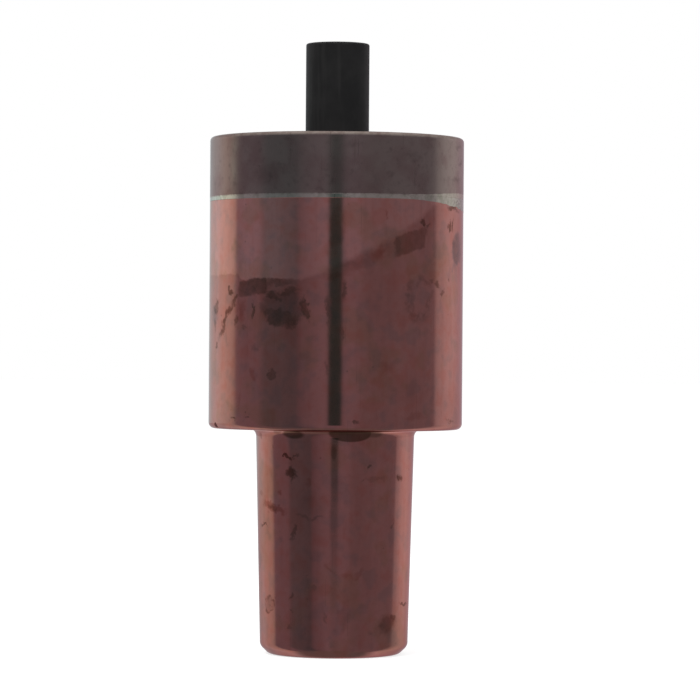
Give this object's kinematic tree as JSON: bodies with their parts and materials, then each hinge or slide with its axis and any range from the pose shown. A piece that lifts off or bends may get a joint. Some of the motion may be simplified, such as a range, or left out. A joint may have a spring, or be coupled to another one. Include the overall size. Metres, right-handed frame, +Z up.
{
  "type": "projection welding electrode with locating pin",
  "caption": "Turned copper welding electrode on a taper shank, with a brazed hard facing and a sprung black locating pin standing out of its flat face.",
  "frame": {"origin": "middle of the shank's lower end face, on the electrode's axis", "axes": "+Z up the axis from the shank's end to the working face and the pin, -Y the front in the picture, +X to its right"},
  "size_m": [0.0254, 0.0254, 0.0611],
  "materials": {
    "copper": "polished",
    "braze": "satin",
    "facing": "satin",
    "pin": "matte",
    "spring_steel": "satin",
    "plug_steel": "satin"
  },
  "bodies": {
    "electrode": {"electrode_body": "copper", "braze_layer": "braze", "facing_ring": "facing", "pin_spring": "spring_steel", "spring_plug": "plug_steel"},
    "pin": {"locating_pin": "pin"}
  },
  "joints": [
    {"name": "pin_slide", "type": "slide", "parent": "electrode", "child": "pin", "axis": [0, 0, 1], "range_m": [-0.0094, 0], "stiffness_N_per_m": 3600, "springref_m": 0.0015, "deforming": ["pin_spring"]}
  ]
}
